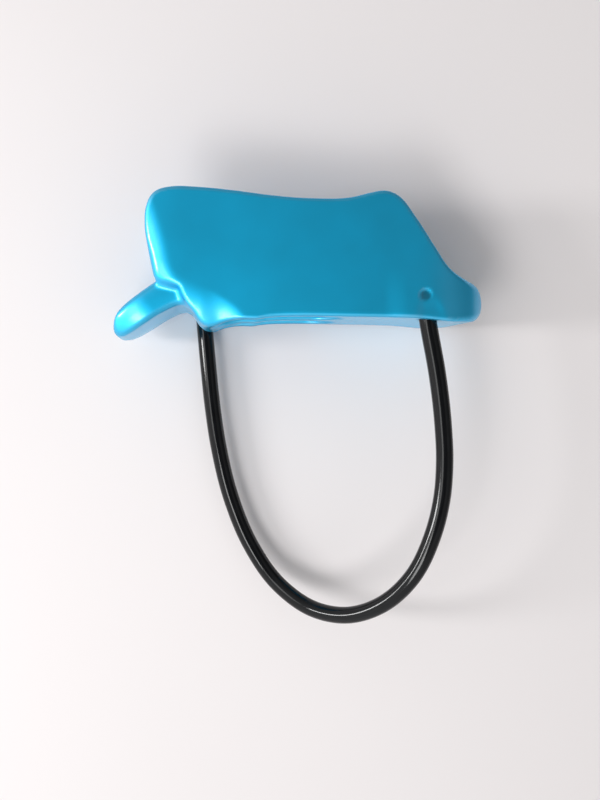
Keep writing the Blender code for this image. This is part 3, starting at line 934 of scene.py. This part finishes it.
def wire_rope_piece(line, diameter, strands, lay_length, finish):
    """Wire rope along a line: strands laid round a middle one, all of the same thickness."""
    curve = bpy.data.curves.new("rope_middle", "CURVE")
    curve.dimensions = "3D"
    spline = curve.splines.new("POLY")
    spline.points.add(len(line) - 1)
    for point, place in zip(spline.points, line):
        point.co = (*(place * MM), 1)
    guide = bpy.data.objects.new("rope_middle", curve)
    bpy.context.scene.collection.objects.link(guide)
    length = np.linalg.norm(np.diff(line, axis=0), axis=1).sum() * MM
    mesh = run_geometry(guide, strand_tree(), {
        "Strands": strands, "Strand radius": diameter / 6 * STRAND_FIT,
        "Lay radius": diameter / 3, "Turns": length / lay_length, "Finish": finish})
    bpy.data.objects.remove(guide)
    mesh.polygons.foreach_set("use_smooth", [True] * len(mesh.polygons))
    piece = bpy.data.objects.new("wire_rope", mesh)
    bpy.context.scene.collection.objects.link(piece)
    return piece


def bend_at_mouths(piece):
    """Bake a cable piece's placement into its mesh."""
    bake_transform(piece)


class BodyForm(bpy.types.PropertyGroup):
    """Radii and depths of the forged body's skin"""

    rim_radius: FloatProperty(
        name="Rim radius", description="Rounding of the cheeks' outer rims",
        default=0.75 * MM, min=0, unit="LENGTH")
    crest_radius: FloatProperty(
        name="Crest radius", description="Bend of the face where its roll begins",
        default=5.0 * MM, min=1 * MM, unit="LENGTH")
    roll_radius: FloatProperty(
        name="Roll radius", description="Wider bend from there to the left rim and the corner",
        default=9.0 * MM, min=1 * MM, unit="LENGTH")
    horn_round: FloatProperty(
        name="Horn rounding", description="Rounding of the horn's edges",
        default=1.2 * MM, min=0, unit="LENGTH")
    horn_pillow: FloatProperty(
        name="Horn swell", description="How far the horn's flanks swell between their rims",
        default=0.4 * MM, min=0, unit="LENGTH")
    tip_radius: FloatProperty(
        name="Tip radius", description="Bend of the horn's flanks towards its tip",
        default=16 * MM, min=1 * MM, unit="LENGTH")
    cove_radius: FloatProperty(
        name="Cove radius", description="Fillet between the crest and the horn under it",
        default=1.3 * MM, min=0, unit="LENGTH")
    rope_edge: FloatProperty(
        name="Rope edge radius", description="Rounding of the edges that the rope bends over",
        default=2.2 * MM, min=0, unit="LENGTH")
    nose_round: FloatProperty(
        name="Nose rounding", description="Rounding between the nose's plan and side outline",
        default=1.2 * MM, min=0, unit="LENGTH")
    face_recess: FloatProperty(
        name="Face recess", description="How far the cheeks' faces lie below boss and crest",
        default=0.30 * MM, min=0, unit="LENGTH")
    fan_depth: FloatProperty(
        name="Fan depth", description="Depth of the dent between punch mark and cable mouth",
        default=0.22 * MM, min=0, unit="LENGTH")
    mark_depth: FloatProperty(
        name="Mark depth", description="Depth of the punch marks over the cable ends",
        default=0.45 * MM, min=0, unit="LENGTH")
    mesh_step: FloatProperty(
        name="Mesh step", description="Size of the faces of the forged skin",
        default=0.43 * MM, min=0.3 * MM, unit="LENGTH")


class CableForm(bpy.types.PropertyGroup):
    """Sizes of the keeper cable"""

    jacket_diameter: FloatProperty(
        name="Jacket diameter", description="Outer diameter of the plastic jacket",
        default=4.0 * MM, min=0, unit="LENGTH")
    rope_diameter: FloatProperty(
        name="Rope diameter", description="Diameter of the steel wire rope",
        default=2.4 * MM, min=0, unit="LENGTH")
    strands: IntProperty(
        name="Strands", description="Strands laid round the middle one", default=6, min=3)
    lay_length: FloatProperty(
        name="Lay length", description="Length in which a strand goes once round",
        default=16 * MM, min=1 * MM, unit="LENGTH")
    sides: IntProperty(
        name="Jacket sides", description="Faces round the jacket", default=40, min=12)


def colour_property(name, description, code):
    """A colour setting whose default is a sRGB hex code."""
    return FloatVectorProperty(
        name=name, description=description, default=srgb(code), subtype="COLOR", size=3,
        min=0, max=1)


class Finishes(bpy.types.PropertyGroup):
    """Colours of the device and the floor"""

    body: colour_property("Body", "Colour of the anodised aluminium", "00BCEC")
    jacket: colour_property("Jacket", "Colour of the cable jacket", "060709")
    wire: colour_property("Wire", "Colour of the steel wire", "C9CACC")
    floor: colour_property("Floor", "Colour of the floor", "EDE8E8")


class Studio(bpy.types.PropertyGroup):
    """Light and floor"""

    strip_power: FloatProperty(
        name="Strip light", description="Power of the upright strip on the horn's side",
        default=1.0, unit="POWER")
    side_power: FloatProperty(
        name="Side light", description="Power of the high softbox on the horn's side",
        default=0.2, unit="POWER")
    main_power: FloatProperty(
        name="Main light", description="Power of the softbox over the horn and the loop",
        default=0.76, unit="POWER")
    fill_strength: FloatProperty(
        name="Surroundings", description="Strength of the plain surroundings", default=1.12)
    floor_height: FloatProperty(
        name="Floor height", description="Height of the floor under the far cheek",
        default=-0.02 * MM, unit="LENGTH")


def surroundings(strength):
    """Plain surroundings: a pale tent, brighter on the horn's side, with the camera's hood.

    The camera itself sees one even pale tone beyond the floor.
    """
    world = bpy.data.worlds.new("surroundings")
    world.use_nodes = True
    tree = world.node_tree
    background = tree.nodes["Background"]
    seen = add_node(tree, "ShaderNodeLightPath").outputs["Is Camera Ray"]
    place = add_node(tree, "ShaderNodeTexCoord").outputs["Generated"]
    height = add_node(tree, "ShaderNodeSeparateXYZ", Vector=place).outputs["Z"]
    across = add_node(
        tree, "ShaderNodeVectorMath", {"operation": "DOT_PRODUCT"}, i0=place, i1=DARK_SIDE)
    share = add_node(
        tree, "ShaderNodeMapRange", Value=across.outputs["Value"], From_Min=-0.9, From_Max=0.9)
    tint = ramp(
        tree, share.outputs[0],
        [(0.0, (1.0, 0.995, 0.99)), (0.5, (0.58, 0.58, 0.58)), (1.0, (0.14, 0.142, 0.145))])
    hood = add_node(
        tree, "ShaderNodeMapRange", {"interpolation_type": "SMOOTHSTEP"}, Value=height,
        From_Min=HOOD_EDGE[0], From_Max=HOOD_EDGE[1], To_Min=strength,
        To_Max=HOOD_LIGHT * strength)
    shown = add_node(
        tree, "ShaderNodeMix", {"data_type": "RGBA"}, i0=seen, i6=tint,
        i7=(0.80, 0.79, 0.785, 1.0))
    level = add_node(
        tree, "ShaderNodeMix", {"data_type": "FLOAT"}, i0=seen, i2=hood.outputs[0], i3=1.0)
    tree.links.new(shown.outputs[2], background.inputs["Color"])
    tree.links.new(level.outputs[0], background.inputs["Strength"])
    return world


def aimed(obj, place, target, up):
    """Stand an object at a place with its -Z towards a target and its +Y upwards."""
    ahead = (Vector(target) - Vector(place)).normalized()
    right = ahead.cross(Vector(up)).normalized()
    turn = Matrix((right, right.cross(ahead), -ahead)).transposed().to_4x4()
    obj.matrix_world = Matrix.Translation(place) @ turn
    bpy.context.scene.collection.objects.link(obj)


def softbox(name, place, target, size, power):
    """A rectangular lamp: size is its length along the floor and its height."""
    lamp = bpy.data.lights.new(name, "AREA")
    lamp.shape = "RECTANGLE"
    lamp.size, lamp.size_y = size
    lamp.energy = power
    aimed(bpy.data.objects.new(name, lamp), place, target, (0, 0, 1))


def camera_above():
    """Camera almost straight above the device, with +Y upwards in its picture."""
    camera = bpy.data.cameras.new("camera")
    camera.sensor_fit = "HORIZONTAL"
    camera.sensor_width = 36
    camera.lens = CAMERA_LENS
    camera.clip_start = 0.001
    obj = bpy.data.objects.new("camera", camera)
    level = CAMERA_DISTANCE * math.cos(CAMERA_PITCH)
    place = Vector(CAMERA_TARGET) + Vector((
        -level * math.sin(CAMERA_YAW), CAMERA_DISTANCE * math.sin(CAMERA_PITCH),
        level * math.cos(CAMERA_YAW)))
    aimed(obj, place, CAMERA_TARGET, (0, 1, 0))
    return obj


class BELAY_OT_keeper_cable(bpy.types.Operator):
    """Make the keeper cable: wire rope and jacket, from bore to bore"""

    bl_idname = "belay.keeper_cable"
    bl_label = "Keeper cable"

    def execute(self, context):
        form, colours = context.scene.belay_cable, context.scene.belay_finishes
        rope_line = cable_route(BORE_LENGTH - END_GAP + CORE_STANDS_OUT)
        rope = wire_rope_piece(
            rope_line, form.rope_diameter, form.strands, form.lay_length,
            bright_wire(colours.wire))
        bend_at_mouths(rope)
        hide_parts("core_loop", "core_end_near", "core_end_far")

        line = cable_route(BORE_LENGTH - END_GAP)
        jacket = jacket_piece(
            line, form.jacket_diameter / 2 / MM, form.sides, glossy_jacket(colours.jacket))
        bend_at_mouths(jacket)
        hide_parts("jacket_loop", "jacket_end_near", "jacket_end_far")
        return {"FINISHED"}


class BELAY_OT_forged_body(bpy.types.Operator):
    """Make the forged body's fine skin"""

    bl_idname = "belay.forged_body"
    bl_label = "Forged body"

    def execute(self, context):
        settings, colours = context.scene.belay_body, context.scene.belay_finishes
        form = {name: getattr(settings, name) / MM for name in BodyForm.__annotations__}
        form["bore_radius"] = context.scene.belay_cable.jacket_diameter / 2 / MM + BORE_PLAY
        field = BodyField(form)
        step = form["mesh_step"] * 1
        corners, quads = skin_of(field, SKIN_LOW, SKIN_HIGH, step)
        corners = settled(field, corners, quads, SETTLING_ROUNDS, step)
        body = mesh_piece("forged_body_skin", corners * MM, quads, anodised_blue(colours.body))
        wear = body.data.attributes.new("rim_wear", "FLOAT", "POINT")
        wear.data.foreach_set("value", rim_wear(corners, quads).astype(np.float32))
        # Share of the punch marks' painted shade at each corner
        mark = body.data.attributes.new("punch_mark", "FLOAT", "POINT")
        mark.data.foreach_set("value", punch_shade_share(corners).astype(np.float32))
        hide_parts("forged_body")
        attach(body, "device_body")
        return {"FINISHED"}


class BELAY_OT_stage(bpy.types.Operator):
    """Lay the pale floor and set up the soft studio light and the camera"""

    bl_idname = "belay.stage"
    bl_label = "Floor, light and camera"

    def execute(self, context):
        studio, colours = context.scene.belay_studio, context.scene.belay_finishes
        corners = [
            (x * FLOOR_REACH, y * FLOOR_REACH, studio.floor_height)
            for x, y in ((-1, -1), (1, -1), (1, 1), (-1, 1))]
        floor = mesh_piece(
            "floor", corners, [(0, 1, 2, 3)], pale_floor(colours.floor), smooth=False)
        context.scene.view_settings.view_transform = "Standard"
        context.scene.world = surroundings(studio.fill_strength)
        for name, (place, size) in LAMPS.items():
            power = getattr(studio, f"{name}_power")
            softbox(f"{name}_softbox", place, LAMP_AIM, size, power)
        context.scene.camera = camera_above()
        return {"FINISHED"}


class BELAY_PT_sidebar(bpy.types.Panel):
    """Steps that dress the belay device"""

    bl_idname = "BELAY_PT_sidebar"
    bl_label = "Belay device"
    bl_space_type = "VIEW_3D"
    bl_region_type = "UI"
    bl_category = "Belay device"

    def draw(self, context):
        for operator in OPERATORS:
            self.layout.operator(operator.bl_idname)
        for name in GROUPS:
            group = getattr(context.scene, name)
            box = self.layout.box()
            for key in type(group).__annotations__:
                box.prop(group, key)


OPERATORS = (BELAY_OT_keeper_cable, BELAY_OT_forged_body, BELAY_OT_stage)
GROUPS = {
    "belay_body": BodyForm, "belay_cable": CableForm, "belay_finishes": Finishes,
    "belay_studio": Studio}


def register():
    """Add the classes, and the settings to every scene."""
    for cls in (*GROUPS.values(), *OPERATORS, BELAY_PT_sidebar):
        bpy.utils.register_class(cls)
    for name, group in GROUPS.items():
        setattr(bpy.types.Scene, name, PointerProperty(type=group))


def unregister():
    """Take settings and classes away again."""
    for name in GROUPS:
        delattr(bpy.types.Scene, name)
    for cls in reversed((*GROUPS.values(), *OPERATORS, BELAY_PT_sidebar)):
        bpy.utils.unregister_class(cls)


def main():
    """Dress and light the device."""
    register()
    bpy.ops.belay.keeper_cable()
    bpy.ops.belay.forged_body()
    bpy.ops.belay.stage()


if __name__ == "__main__":
    main()
